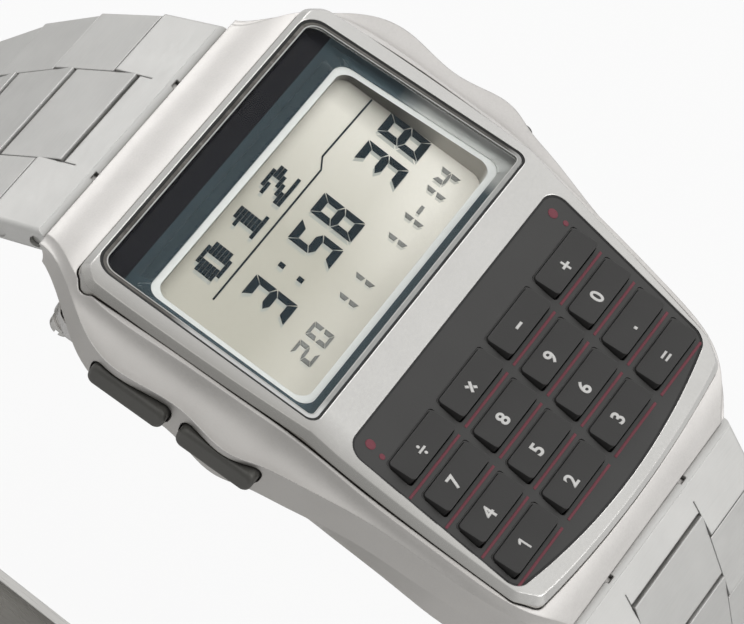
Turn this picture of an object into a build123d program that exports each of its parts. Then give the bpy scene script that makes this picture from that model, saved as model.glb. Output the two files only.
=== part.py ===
from build123d import *
import os
from math import cos, radians, sin, tan

os.makedirs("parts", exist_ok=True)

# Calculator watch on its closed bracelet, standing on the clasp.
# X points to 3 o'clock, Y to 12 o'clock and Z along the dial's normal.
# The origin is on the ground under the middle of the case.

# Shared clearances and overruns
overrun = 2.0
seat_gap = 0.05
bezel_gap = 0.07
pin_gap = 0.05
rest_gap = 0.4

# Stack of the module, from the case back up to the display
back_thickness = 1.2
back_floor = 0.45
module_rise = 0.35
battery_thickness = 2.5
board_thickness = 0.5
connector_height = 1.0
lcd_thickness = 1.0
display_headroom = 2.4
module_z = back_floor + module_rise
board_z = module_z + battery_thickness
lcd_z = board_z + board_thickness + connector_height
case_thickness = lcd_z + lcd_thickness + display_headroom

# Display: the upper face falls towards 12 o'clock
display_slope = 5.0
display_y = -0.1
face_half_width = 12.98
crystal_length = 15.4
crystal_taper = 0.42
crystal_top_half_width = face_half_width - crystal_taper
crystal_thickness = 0.8
crystal_top_radius = 1.3
crystal_bottom_radius = 0.7
crystal_edge_bevel = 0.12
crystal_ledge = 0.5
mask_thickness = 0.1
mask_top_margin = 3.15
mask_bottom_margin = 0.9
mask_side_margin = 1.14
mask_taper = 0.4
mask_window_bottom_half_width = face_half_width - mask_side_margin
mask_window_top_half_width = mask_window_bottom_half_width - mask_taper
mask_window_radius = 0.9
lcd_rim = 0.42
lcd_tuck = 0.24
lcd_end_tuck = 0.35
lcd_half_width = mask_window_bottom_half_width - lcd_tuck
lcd_top_y = display_y + crystal_length - mask_top_margin + lcd_end_tuck
lcd_bottom_y = display_y + mask_bottom_margin
lcd_wall = 0.28
lcd_corner = 0.6
lcd_frame_corner = 1.2
backlight_thickness = 0.3
connector_width = 1.0
connector_inset = 0.9
connector_end_inset = 2.1

# Keypad: the lower face falls towards 6 o'clock
keypad_slope = 6.1
keypad_fall = 1.15
keypad_z = case_thickness - keypad_fall
strip_length = 2.19
keypad_inset = 0.36
keypad_taper = 0.67
keypad_top_half_width = face_half_width - keypad_inset
keypad_bottom_half_width = keypad_top_half_width - keypad_taper
key_columns = 4
key_rows = 4
key_field_length = 10.5
key_field_margin = 0.78
key_space_x = 0.8
key_space_y = 0.925
key_pitch_x = 2 * (keypad_top_half_width - key_field_margin) / key_columns
key_pitch_y = key_field_length / key_rows
key_width = key_pitch_x - key_space_x
key_height = key_pitch_y - key_space_y
keypad_top_margin = 1.95
keypad_corner_margin = 0.05
keypad_belly_margin = 1.37
keypad_top = key_field_length / 2 + keypad_top_margin
keypad_bottom = -key_field_length / 2 - keypad_corner_margin
keypad_belly = key_field_length / 2 + keypad_belly_margin
keypad_corner = 1.1
keypad_ledge = 0.33
plate_thickness = 0.9
key_gap = 0.12
key_low = 0.08
key_high = 0.5
key_flange = 0.4
key_lip = 0.2
key_corner = 0.25
key_names = (
    ("divide", "multiply", "minus", "plus"),
    ("7", "8", "9", "0"),
    ("4", "5", "6", "point"),
    ("1", "2", "3", "equals"),
)
keypad_top_y = display_y - strip_length
keypad_y = keypad_top_y - keypad_top * cos(radians(keypad_slope))
keypad_top_z = keypad_z + keypad_top * sin(radians(keypad_slope))

# Bezel outline round the crystal and the keypad
rim_width = 1.14
rim_shoulder_draw = 0.12
rim_corner_cut = 1.0
rim_corner_radius = 1.1
rim_top = 0.46
rim_hip = 0.55
rim_hip_drop = 0.18
rim_foot_cut = 1.1
rim_foot_rise = 0.65
rim_bottom = 1.02
waist_share = 0.266
bezel_height = 3.3
bezel_ledge_z = case_thickness - bezel_height
bezel_waist_half_width = face_half_width + rim_width
bezel_waist_y = display_y + waist_share * crystal_length
bezel_shoulder_half_width = bezel_waist_half_width - rim_shoulder_draw
bezel_top_half_width = bezel_shoulder_half_width - rim_corner_cut
bezel_top_y = display_y + crystal_length * cos(radians(display_slope)) + rim_top
bezel_shoulder_y = bezel_top_y - rim_corner_cut
bezel_hip_half_width = keypad_bottom_half_width + rim_hip
bezel_hip_y = keypad_y + keypad_bottom * cos(radians(keypad_slope)) - rim_hip_drop
bezel_foot_half_width = bezel_hip_half_width - rim_foot_cut
bezel_bottom_y = keypad_y - keypad_belly * cos(radians(keypad_slope)) - rim_bottom
bezel_foot_y = bezel_bottom_y + rim_foot_rise
rim_bevel = 0.4
rim_proud = 0.06

# Case body: hoods past the bezel's ends, a land beside it and flanks that bulge at the buttons
hood_run = 2.8
foot_run = 1.4
crown_land = 0.42
flank_run = 2.21
case_end_y = max(bezel_top_y + hood_run, foot_run - bezel_bottom_y)
crown_half_width = bezel_waist_half_width + crown_land
case_half_width = crown_half_width + flank_run

# Case stations along Y as shares of case_end_y, from 12 to 6 o'clock
station_shares = (1.0, 0.92, 0.84, 0.73, 0.62, 0.486, 0.27, 0.054, -0.108, -0.27, -0.486, -0.703, -0.865, -0.951, -1.0)
# Width of the upper edge at each station as shares of crown_half_width
crown_x_shares = (
    0.729, 0.807, 0.915, 0.983, 1.0, 1.0, 0.993, 0.983, 0.972, 0.962, 0.937, 0.904, 0.832, 0.729, 0.66)
# Reach of the flank beyond the upper edge as shares of flank_run
flank_shares = (
    0.321, 0.253, 0.2, 0.62, 1.03, 1.05, 1.045, 0.977, 0.661, 0.348, 0.213, 0.136, 0.14, 0.271, 0.271)
# Heights at each station as shares of case_thickness
hip_z_shares = (
    0.47, 0.573, 0.646, 0.7, 0.737, 0.76, 0.78, 0.799, 0.793, 0.768, 0.732, 0.683, 0.622, 0.549, 0.482)
crown_z_shares = (
    0.5, 0.62, 0.732, 0.793, 0.829, 0.866, 0.902, 0.927, 0.902, 0.86, 0.817, 0.768, 0.701, 0.598, 0.5)
wall_z_shares = (
    0.32, 0.39, 0.44, 0.47, 0.485, 0.488, 0.488, 0.488, 0.48, 0.47, 0.45, 0.42, 0.39, 0.35, 0.32)
# Draw of the lower wall at each station as shares of back_tuck
back_tuck_shares = (
    1.0, 1.0, 0.9, 0.3, 0.18, 0.18, 0.18, 0.18, 0.18, 0.18, 0.18, 0.18, 0.18, 0.18, 0.18)
wall_tuck = 0.2
back_tuck = 2.2
flank_sag_share = 0.14

# Module cavity in the case
cavity_inset = 0.88
cavity_top_inset = 1.3
cavity_bottom_inset = 2.05
cavity_half_width = face_half_width - cavity_inset
cavity_top_y = bezel_top_y - cavity_top_inset
cavity_bottom_y = bezel_bottom_y + cavity_bottom_inset
cavity_radius = 3.5

# Case back
back_wall = 0.8
back_rim = 0.65
back_taper = 1.45
back_top_rim = 1.35
back_bottom_rim = 1.9
back_half_width = cavity_half_width + back_wall
back_top_half_width = cavity_half_width + back_rim
back_bottom_half_width = back_top_half_width - back_taper
back_top_y = cavity_top_y + back_top_rim
back_bottom_y = cavity_bottom_y - back_bottom_rim
back_corner = 1.6
back_bevel = 0.35
back_pan_margin = 0.05
screw_inset = 0.9
screw_top_inset = 1.0
screw_corner_inset = 0.7
screw_head_radius = 0.8
screw_head_height = 0.5
screw_shank_radius = 0.5
screw_length = 2.9
screw_slot = 0.25
gasket_inset = 0.2
gasket_width = 0.5
gasket_height = 0.4

# Electronics and battery under the face
board_margin = 0.17
chip_width = 6.0
chip_length = 4.0
chip_height = 0.5
piezo_diameter = 5.0
piezo_thickness = 0.2
piezo_spacing = 0.5
piezo_end_gap = 0.72
piezo_well_gap = 0.2
buzzer_radius = 0.9
buzzer_wall = 0.3
buzzer_gap = 0.02
battery_side = 2.1
battery_top_gap = 3.2
battery_play = 0.15
battery_edge = 0.3
battery_room_y = cavity_top_y - cavity_bottom_y - battery_top_gap - piezo_spacing - piezo_diameter - piezo_end_gap
battery_diameter = min(2 * (cavity_half_width - battery_side), battery_room_y)
battery_y = cavity_top_y - battery_top_gap - battery_diameter / 2
piezo_y = battery_y - battery_diameter / 2 - piezo_spacing - piezo_diameter / 2
clamp_thickness = 0.15
clamp_over = 0.6
clamp_half_length = 4.2
mat_margin = 0.65
mat_top_gap = 0.51

# Side buttons in their slots
slot_y_share = 0.33
slot_z_share = 0.612
slot_y = slot_y_share * case_end_y
slot_z = slot_z_share * case_thickness
slot_length = 11.4
slot_height = 1.7
slot_slope = 4.0
slot_depth = 1.5
slot_bridge = 0.7
shelf_rise = 0.7
shelf_over = 1.0
shelf_z = bezel_ledge_z + shelf_rise
button_gap = 0.12
button_proud = 0.42
button_crown = 0.3
button_corner = 0.55
button_travel = 0.5
stem_radius = 0.4
stem_drop = 0.3
stem_rest_gap = 0.05
contact_thickness = 0.13
contact_over = 0.4
contact_length = 2.4

# Lugs and bracelet
lug_out = 0.3
lug_pin_y = case_end_y + lug_out
lug_pin_rise = 2.8
link_radius = 0.85
hood_gap = 0.15
tab_inner = 4.42
tab_width = 0.5
tab_radius = 0.58
tab_gap = 0.1
spring_bar_radius = 0.35
bracelet_half_width = 10.55
bracelet_taper = 0.146
end_link_pitch = 2.5
rod_reach = 0.25
link_pitch = 4.3
link_centre_draw = 0.07
link_centre_half_width = tab_inner - link_centre_draw
link_side_gap = 0.1
link_reach_draw = 0.03
link_reach = link_radius - link_reach_draw
link_gap = 0.07
link_outer_fillet = 0.12
link_inner_fillet = 0.75
link_crown = 0.2
link_corner_radius = 0.35
link_web_drop = 0.15
link_pin_radius = 0.4
link_pin_inset = 0.12
# Angles below the horizontal of the end link and of each link on the closed bracelet
link_slopes = (33.0, 44.0, 54.0, 63.0, 71.0, 78.0, 85.0, 92.0, 99.0, 106.0, 113.0, 120.0, 127.0, 134.0, 142.0)
# Links that are one piece of the chain: the end link, two single links and six pairs
link_groups = ((0,), (1,), (2,), (3, 4), (5, 6), (7, 8), (9, 10), (11, 12), (13, 14))

# Heights worked out from the chain of links
clasp_pin_rise = 3.55
chain_lengths = [end_link_pitch] + [link_pitch] * (len(link_slopes) - 1)
chain_drop = sum(length * sin(radians(a)) for length, a in zip(chain_lengths, link_slopes))
lug_pin_z = clasp_pin_rise + chain_drop
case_z = lug_pin_z - lug_pin_rise
clasp_pin_y = lug_pin_y + sum(length * cos(radians(a)) for length, a in zip(chain_lengths, link_slopes))

# Three-fold clasp
cover_side_gap = 0.427
cover_wall = 0.75
cover_floor = 0.8
cover_rear = 1.45
cover_front = 1.48
cover_edge_radius = 0.5
cover_notch = 0.8
blade_thickness = 0.8
blade_draw = 0.45
blade_step = 1.3
blade_end_radius = 0.95
blade_eye_radius = 0.8
blade_hinge_in = 2.78
blade_fold_in = 4.08
blade_hinge_gap = 0.2
hinge_barrel_radius = 0.75
hinge_pin_radius = 0.35
knuckle_gap = 0.1
cover_inner_half_width = bracelet_half_width - bracelet_taper * sum(chain_lengths) / link_pitch + cover_side_gap
cover_half_width = cover_inner_half_width + cover_wall
cover_wall_height = clasp_pin_rise + blade_end_radius
cover_front_y = cover_front - clasp_pin_y
cover_rear_y = clasp_pin_y + cover_rear
blade_hinge_y = blade_hinge_in - clasp_pin_y
blade_hinge_z = cover_floor + blade_hinge_gap + hinge_barrel_radius
blade_fold_y = clasp_pin_y - blade_fold_in
blade_fold_z = clasp_pin_rise - blade_thickness
blade_two_half_width = link_centre_half_width - blade_draw
blade_one_half_width = blade_two_half_width + blade_step


def level(height):
    # A horizontal plane at a height above the case back's outer face
    return Plane.XY.offset(case_z + height)


def side_plane(x):
    # A plane across the watch, seen from 3 o'clock: its axes are Y and Z
    return Plane(origin=(x, 0, case_z), x_dir=(0, 1, 0), z_dir=(1, 0, 0))


def station_plane(y):
    # A cross-section at a place along Y: its axes are X and Z
    return Plane(origin=(0, y, case_z), x_dir=(1, 0, 0), z_dir=(0, -1, 0))


def tilted_plane(y, z, slope):
    # A face plane through (y, z) that rises towards 12 o'clock by slope degrees
    tilt = radians(slope)
    return Plane(origin=(0, y, case_z + z), x_dir=(1, 0, 0), z_dir=(0, -sin(tilt), cos(tilt)))


display_plane = tilted_plane(display_y, case_thickness, -display_slope)
keypad_plane = tilted_plane(keypad_y, keypad_z, keypad_slope)


def trapezoid(top_y, bottom_y, top_half, bottom_half, top_corner, bottom_corner):
    # A symmetrical four-sided outline with rounded corners
    with BuildSketch(Plane.XY) as shape:
        with BuildLine():
            Polyline(
                (-top_half, top_y),
                (top_half, top_y),
                (bottom_half, bottom_y),
                (-bottom_half, bottom_y),
                close=True,
            )
        make_face()
        fillet(shape.vertices().group_by(Axis.Y)[-1], radius=top_corner)
        fillet(shape.vertices().group_by(Axis.Y)[0], radius=bottom_corner)
    return shape.sketch


def bezel_outline(spread):
    # The bezel's plan, grown outwards by spread
    with BuildSketch(Plane.XY) as shape:
        with BuildLine():
            top_left = (-bezel_top_half_width, bezel_top_y)
            top_right = (bezel_top_half_width, bezel_top_y)
            Line(top_left, top_right)
            for side in (-1, 1):
                shoulder = (side * bezel_shoulder_half_width, bezel_shoulder_y)
                waist = (side * bezel_waist_half_width, bezel_waist_y)
                hip = (side * bezel_hip_half_width, bezel_hip_y)
                foot = (side * bezel_foot_half_width, bezel_foot_y)
                Line((side * bezel_top_half_width, bezel_top_y), shoulder)
                ThreePointArc(shoulder, waist, hip)
                Line(hip, foot)
            ThreePointArc(
                (-bezel_foot_half_width, bezel_foot_y),
                (0, bezel_bottom_y),
                (bezel_foot_half_width, bezel_foot_y),
            )
        make_face()
        fillet(shape.vertices(), radius=rim_corner_radius)
        if spread:
            offset(amount=spread, kind=Kind.INTERSECTION)
    return shape.sketch


def keypad_outline(inset):
    # The keypad plate's outline in the keypad plane, drawn in by inset
    with BuildSketch(Plane.XY) as shape:
        with BuildLine():
            Polyline(
                (-keypad_bottom_half_width, keypad_bottom),
                (-keypad_top_half_width, keypad_top),
                (keypad_top_half_width, keypad_top),
                (keypad_bottom_half_width, keypad_bottom),
            )
            ThreePointArc(
                (keypad_bottom_half_width, keypad_bottom),
                (0, -keypad_belly),
                (-keypad_bottom_half_width, keypad_bottom),
            )
        make_face()
        fillet(shape.vertices(), radius=keypad_corner)
        if inset:
            offset(amount=-inset)
    return shape.sketch


def cavity_outline(inset):
    # The module cavity's plan, drawn in by inset
    return trapezoid(
        cavity_top_y - inset,
        cavity_bottom_y + inset,
        cavity_half_width - inset,
        cavity_half_width - inset,
        cavity_radius - inset,
        cavity_radius - inset,
    )


def crystal_outline(inset):
    # The crystal's outline in the display plane, drawn in by inset
    return trapezoid(
        crystal_length - inset,
        inset,
        crystal_top_half_width - inset,
        face_half_width - inset,
        crystal_top_radius,
        crystal_bottom_radius,
    )


def mask_window(inset):
    # The window of the display mask in the display plane, drawn in by inset
    return trapezoid(
        crystal_length - mask_top_margin - inset,
        mask_bottom_margin + inset,
        mask_window_top_half_width - inset,
        mask_window_bottom_half_width - inset,
        mask_window_radius,
        mask_window_radius,
    )


def lcd_outline(spread, corner):
    # The display glass's plan, grown by spread
    with BuildSketch(Plane.XY) as shape:
        with Locations((0, (lcd_top_y + lcd_bottom_y) / 2)):
            RectangleRounded(2 * (lcd_half_width + spread), lcd_top_y - lcd_bottom_y + 2 * spread, corner)
    return shape.sketch


def shelf_outline(spread):
    # Plan of the case's raised shelf over the button stems, grown by spread
    with BuildSketch(Plane.XY) as shape:
        with Locations((0, slot_y)):
            Rectangle(2 * case_half_width, slot_length + shelf_over + 2 * spread)
    return shape.sketch


def face_profile(depth):
    # Everything below the arched face, lowered by depth, in the side plane
    drop = tan(radians(display_slope))
    rise = tan(radians(keypad_slope))
    far_top = case_end_y + overrun
    far_bottom = case_end_y + overrun
    with BuildSketch(Plane.XY) as shape:
        with BuildLine():
            Polyline(
                (far_top, case_thickness - depth - drop * (far_top - display_y)),
                (display_y, case_thickness - depth),
                (keypad_top_y, keypad_top_z - depth),
                (-far_bottom, keypad_z - depth - rise * (far_bottom + keypad_y)),
                (-far_bottom, 0),
                (far_top, 0),
                close=True,
            )
        make_face()
    return shape.sketch


def screw_places():
    # The four case back screws
    return [
        (back_top_half_width - screw_inset, back_top_y - screw_top_inset),
        (screw_inset - back_top_half_width, back_top_y - screw_top_inset),
        (back_bottom_half_width - screw_corner_inset, back_bottom_y + screw_inset),
        (screw_corner_inset - back_bottom_half_width, back_bottom_y + screw_inset),
    ]


def slot_plane(side):
    # The slot's face at the case's widest place, looking inwards from outside
    tilt = radians(slot_slope)
    return Plane(
        origin=(side * case_half_width, slot_y, case_z + slot_z),
        x_dir=(0, side * cos(tilt), -side * sin(tilt)),
        z_dir=(side, 0, 0),
    )


button_length = (slot_length - slot_bridge) / 2
button_places = {"upper": (slot_bridge + button_length) / 2, "lower": -(slot_bridge + button_length) / 2}

# Case: middle body with hoods, side bulges and lug tabs
with BuildPart() as case:
    for index, share in enumerate(station_shares):
        crown_x = crown_x_shares[index] * crown_half_width
        hip_x = crown_x + flank_shares[index] * flank_run
        hip_z = hip_z_shares[index] * case_thickness
        crown_z = crown_z_shares[index] * case_thickness
        wall_x = hip_x - wall_tuck
        wall_z = wall_z_shares[index] * case_thickness
        back_x = min(back_half_width, wall_x - back_tuck_shares[index] * back_tuck)
        sag_x = (hip_x + crown_x) / 2 - flank_sag_share * (hip_x - crown_x)
        sag_z = (hip_z + crown_z) / 2 - flank_sag_share * (hip_x - crown_x)
        with BuildSketch(station_plane(share * case_end_y)):
            with BuildLine():
                Polyline((crown_x, crown_z), (-crown_x, crown_z))
                ThreePointArc((-crown_x, crown_z), (-sag_x, sag_z), (-hip_x, hip_z))
                Polyline(
                    (-hip_x, hip_z),
                    (-wall_x, wall_z),
                    (-back_x, back_thickness),
                    (back_x, back_thickness),
                    (wall_x, wall_z),
                    (hip_x, hip_z),
                )
                ThreePointArc((hip_x, hip_z), (sag_x, sag_z), (crown_x, crown_z))
            make_face()
    loft()
    # Module cavity and the seat of the bezel
    with BuildSketch(level(0)):
        add(cavity_outline(0))
    extrude(amount=case_thickness + overrun, mode=Mode.SUBTRACT)
    with BuildSketch(level(bezel_ledge_z)):
        add(bezel_outline(bezel_gap))
        add(shelf_outline(0), mode=Mode.SUBTRACT)
    extrude(amount=case_thickness, mode=Mode.SUBTRACT)
    with BuildSketch(level(shelf_z)):
        add(bezel_outline(bezel_gap))
    extrude(amount=case_thickness, mode=Mode.SUBTRACT)
    # Hollow ends that wrap the bracelet's first rods
    for side in (-1, 1):
        with BuildSketch(side_plane(0)):
            with Locations((side * lug_pin_y, lug_pin_rise)):
                Circle(link_radius + hood_gap)
            with Locations((side * lug_pin_y, lug_pin_rise / 2 - overrun / 2)):
                Rectangle(2 * (link_radius + hood_gap), lug_pin_rise + overrun)
        extrude(amount=case_half_width, both=True, mode=Mode.SUBTRACT)
        # Tabs that carry the spring bars
        tab_back_y = lug_pin_y - link_radius - hood_gap - overrun / 2
        for tab in (-1, 1):
            with BuildSketch(side_plane(tab * (tab_inner + tab_width / 2))):
                with Locations((side * (tab_back_y + lug_pin_y) / 2, lug_pin_rise)):
                    Rectangle(lug_pin_y - tab_back_y, 2 * tab_radius)
                with Locations((side * lug_pin_y, lug_pin_rise)):
                    Circle(tab_radius)
            extrude(amount=tab_width / 2, both=True)
        with BuildSketch(side_plane(0)):
            with Locations((side * lug_pin_y, lug_pin_rise)):
                Circle(spring_bar_radius + pin_gap)
        extrude(amount=case_half_width, both=True, mode=Mode.SUBTRACT)
    # Slots of the side buttons, with a bridge between each pair, and the stem bores
    for side in (-1, 1):
        with BuildSketch(slot_plane(side).offset(-slot_depth)):
            for place in button_places.values():
                with Locations((side * place, 0)):
                    RectangleRounded(button_length, slot_height, button_corner + button_gap)
        extrude(amount=slot_depth + overrun, mode=Mode.SUBTRACT)
        with BuildSketch(slot_plane(side)):
            for place in button_places.values():
                with Locations((side * place, -stem_drop)):
                    Circle(stem_radius + pin_gap)
        extrude(amount=-(case_half_width - cavity_half_width + contact_thickness), mode=Mode.SUBTRACT)
    # Gasket groove and screw bores from below
    with BuildSketch(level(back_thickness)):
        add(cavity_outline(-gasket_inset - gasket_width))
        add(cavity_outline(-gasket_inset), mode=Mode.SUBTRACT)
    extrude(amount=gasket_height, mode=Mode.SUBTRACT)
    with BuildSketch(level(back_thickness)):
        with Locations(*screw_places()):
            Circle(screw_shank_radius)
    extrude(amount=screw_length, mode=Mode.SUBTRACT)
case.part.label = "case"
export_step(case.part, "parts/case.step")

# Bezel: arched rim round the crystal and the keypad with a bar between them
with BuildPart() as bezel:
    with BuildSketch(level(bezel_ledge_z)):
        add(bezel_outline(0))
    extrude(amount=case_thickness)
    with BuildSketch(side_plane(0)):
        add(face_profile(-rim_proud))
    extrude(amount=case_half_width, both=True, mode=Mode.INTERSECT)
    wall_edges = bezel.faces().filter_by(lambda face: abs(face.normal_at().Z) < 0.1).edges()
    top_edges = bezel.faces().filter_by(lambda face: face.normal_at().Z > 0.9).edges()
    chamfer([edge for edge in top_edges if edge in wall_edges], length=rim_bevel)
    # Relief over the case's shelf
    with BuildSketch(level(bezel_ledge_z)):
        add(shelf_outline(seat_gap))
    extrude(amount=shelf_z - bezel_ledge_z, mode=Mode.SUBTRACT)
    # Crystal seat and the display well under it
    with BuildSketch(display_plane.offset(-crystal_thickness - mask_thickness)):
        add(crystal_outline(-seat_gap))
    extrude(amount=crystal_thickness + overrun, mode=Mode.SUBTRACT)
    with BuildSketch(display_plane.offset(-crystal_thickness)):
        add(crystal_outline(crystal_ledge))
    extrude(amount=-case_thickness, mode=Mode.SUBTRACT)
    # Keypad seat and the key well under it
    with BuildSketch(keypad_plane.offset(-plate_thickness)):
        add(keypad_outline(-seat_gap))
    extrude(amount=plate_thickness + overrun, mode=Mode.SUBTRACT)
    with BuildSketch(keypad_plane.offset(-plate_thickness)):
        add(keypad_outline(keypad_ledge))
    extrude(amount=-case_thickness, mode=Mode.SUBTRACT)
bezel.part.label = "bezel"
export_step(bezel.part, "parts/bezel.step")

# Crystal: clear window over the display
with BuildPart() as crystal:
    with BuildSketch(display_plane.offset(-crystal_thickness)):
        add(crystal_outline(0))
    extrude(amount=crystal_thickness)
    chamfer(crystal.faces().sort_by(Axis.Z)[-1].edges(), length=crystal_edge_bevel)
crystal.part.label = "crystal"
export_step(crystal.part, "parts/crystal.step")

# Display mask: dark sheet with a window under the crystal
with BuildPart() as display_mask:
    with BuildSketch(display_plane.offset(-crystal_thickness - mask_thickness)):
        add(crystal_outline(seat_gap))
        add(mask_window(0), mode=Mode.SUBTRACT)
    extrude(amount=mask_thickness)
display_mask.part.label = "display_mask"
export_step(display_mask.part, "parts/display_mask.step")

# Display frame: silver rim in the mask's window, with a skirt that holds the display
with BuildPart() as lcd_frame:
    with BuildSketch(level(board_z + board_thickness)):
        add(lcd_outline(lcd_wall, lcd_frame_corner))
    extrude(amount=case_thickness)
    under_mask = display_plane.offset(-crystal_thickness - mask_thickness)
    split(bisect_by=under_mask, keep=Keep.BOTTOM)
    with BuildSketch(level(board_z + board_thickness)):
        add(lcd_outline(seat_gap, lcd_corner))
    extrude(amount=lcd_z + lcd_thickness - board_z - board_thickness, mode=Mode.SUBTRACT)
    with BuildSketch(display_plane):
        add(mask_window(lcd_rim))
    extrude(amount=-(case_thickness - lcd_z), mode=Mode.SUBTRACT)
lcd_frame.part.label = "lcd_frame"
export_step(lcd_frame.part, "parts/lcd_frame.step")

# Display glass
with BuildPart() as lcd:
    with BuildSketch(level(lcd_z)):
        add(lcd_outline(0, lcd_corner))
    extrude(amount=lcd_thickness)
lcd.part.label = "lcd"
export_step(lcd.part, "parts/lcd.step")

# Light panel behind the display, between the two contact strips
with BuildPart() as light_panel:
    panel_inset = connector_inset + connector_width
    with BuildSketch(level(lcd_z)):
        with Locations((0, (lcd_top_y + lcd_bottom_y) / 2)):
            Rectangle(2 * (lcd_half_width - connector_inset), lcd_top_y - lcd_bottom_y - 2 * panel_inset)
    extrude(amount=-backlight_thickness)
light_panel.part.label = "light_panel"
export_step(light_panel.part, "parts/light_panel.step")

# Two rubber contact strips between the board and the display
with BuildPart() as lcd_contact_strips:
    with BuildSketch(level(board_z + board_thickness)):
        strip_inset = connector_inset / 2 + connector_width / 2
        with Locations((0, lcd_top_y - strip_inset), (0, lcd_bottom_y + strip_inset)):
            Rectangle(2 * (lcd_half_width - connector_end_inset), connector_width)
    extrude(amount=lcd_z - board_z - board_thickness)
lcd_contact_strips.part.label = "lcd_contact_strips"
export_step(lcd_contact_strips.part, "parts/lcd_contact_strips.step")

# Circuit board with its chip under the display
with BuildPart() as circuit_board:
    with BuildSketch(level(board_z)):
        add(cavity_outline(board_margin))
    extrude(amount=board_thickness)
    with BuildSketch(level(board_z + board_thickness)):
        with Locations((0, (lcd_top_y + lcd_bottom_y) / 2)):
            Rectangle(chip_width, chip_length)
    extrude(amount=chip_height)
circuit_board.part.label = "circuit_board"
export_step(circuit_board.part, "parts/circuit_board.step")

# Module frame round the battery, with a well for the buzzer
with BuildPart() as module_frame:
    with BuildSketch(level(module_z)):
        add(cavity_outline(battery_play))
        with Locations((0, battery_y)):
            Circle(battery_diameter / 2 + battery_play, mode=Mode.SUBTRACT)
        with Locations((0, piezo_y)):
            Circle(piezo_diameter / 2 + piezo_well_gap, mode=Mode.SUBTRACT)
    extrude(amount=board_z - module_z)
module_frame.part.label = "module_frame"
export_step(module_frame.part, "parts/module_frame.step")

# Coin cell
with BuildPart() as battery:
    with BuildSketch(level(module_z)):
        with Locations((0, battery_y)):
            Circle(battery_diameter / 2)
    extrude(amount=battery_thickness)
    fillet(battery.edges().filter_by(GeomType.CIRCLE), radius=battery_edge)
battery.part.label = "battery"
export_step(battery.part, "parts/battery.step")

# Battery clamp: steel strip below the cell
with BuildPart() as battery_clamp:
    with BuildSketch(level(module_z)):
        with Locations((0, battery_y)):
            Rectangle(battery_diameter + 2 * clamp_over, 2 * clamp_half_length)
    extrude(amount=-clamp_thickness)
battery_clamp.part.label = "battery_clamp"
export_step(battery_clamp.part, "parts/battery_clamp.step")

# Case back: shallow steel pan
with BuildPart() as case_back:
    with BuildSketch(level(0)):
        add(trapezoid(back_top_y, back_bottom_y, back_top_half_width, back_bottom_half_width,
                      back_corner, back_corner))
    extrude(amount=back_thickness)
    chamfer(case_back.faces().sort_by(Axis.Z)[0].edges(), length=back_bevel)
    with BuildSketch(level(back_floor)):
        add(cavity_outline(back_pan_margin))
    extrude(amount=back_thickness, mode=Mode.SUBTRACT)
    with BuildSketch(level(0)):
        with Locations(*screw_places()):
            Circle(screw_shank_radius + seat_gap)
    extrude(amount=back_thickness, mode=Mode.SUBTRACT)
    with BuildSketch(level(0)):
        with Locations(*screw_places()):
            Circle(screw_head_radius + seat_gap)
    extrude(amount=screw_head_height + seat_gap, mode=Mode.SUBTRACT)
case_back.part.label = "case_back"
export_step(case_back.part, "parts/case_back.step")

# Gasket in the case's groove
with BuildPart() as back_gasket:
    with BuildSketch(level(back_thickness)):
        add(cavity_outline(-gasket_inset - gasket_width))
        add(cavity_outline(-gasket_inset), mode=Mode.SUBTRACT)
    extrude(amount=gasket_height)
back_gasket.part.label = "back_gasket"
export_step(back_gasket.part, "parts/back_gasket.step")

# Four case back screws with slotted heads
with BuildPart() as back_screws:
    with BuildSketch(level(seat_gap)):
        with Locations(*screw_places()):
            Circle(screw_head_radius)
    extrude(amount=screw_head_height)
    with BuildSketch(level(seat_gap)):
        with Locations(*screw_places()):
            Rectangle(2 * screw_head_radius, screw_slot)
    extrude(amount=screw_slot, mode=Mode.SUBTRACT)
    with BuildSketch(level(seat_gap + screw_head_height)):
        with Locations(*screw_places()):
            Circle(screw_shank_radius)
    extrude(amount=back_thickness - screw_head_height + screw_length - screw_slot)
back_screws.part.label = "back_screws"
export_step(back_screws.part, "parts/back_screws.step")

# Buzzer: disc on the case back and the spring that feeds it from the board
with BuildPart() as buzzer:
    with BuildSketch(level(back_floor)):
        with Locations((0, piezo_y)):
            Circle(piezo_diameter / 2)
    extrude(amount=piezo_thickness)
    with BuildSketch(level(back_floor + piezo_thickness + buzzer_gap)):
        with Locations((0, piezo_y)):
            Circle(buzzer_radius)
            Circle(buzzer_radius - buzzer_wall, mode=Mode.SUBTRACT)
    extrude(amount=board_z - back_floor - piezo_thickness - buzzer_gap)
buzzer.part.label = "buzzer"
export_step(buzzer.part, "parts/buzzer.step")

# Keypad plate with a window for each key
key_centres = {}
for row in range(key_rows):
    for column in range(key_columns):
        centre_x = (column - (key_columns - 1) / 2) * key_pitch_x
        centre_y = ((key_rows - 1) / 2 - row) * key_pitch_y
        key_centres[key_names[row][column]] = (centre_x, centre_y)

with BuildPart() as key_plate:
    with BuildSketch(keypad_plane.offset(-plate_thickness)):
        add(keypad_outline(0))
        with Locations(*key_centres.values()):
            RectangleRounded(key_width + 2 * key_gap, key_height + 2 * key_gap, key_corner, mode=Mode.SUBTRACT)
    extrude(amount=plate_thickness)
key_plate.part.label = "key_plate"
export_step(key_plate.part, "parts/key_plate.step")

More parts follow.
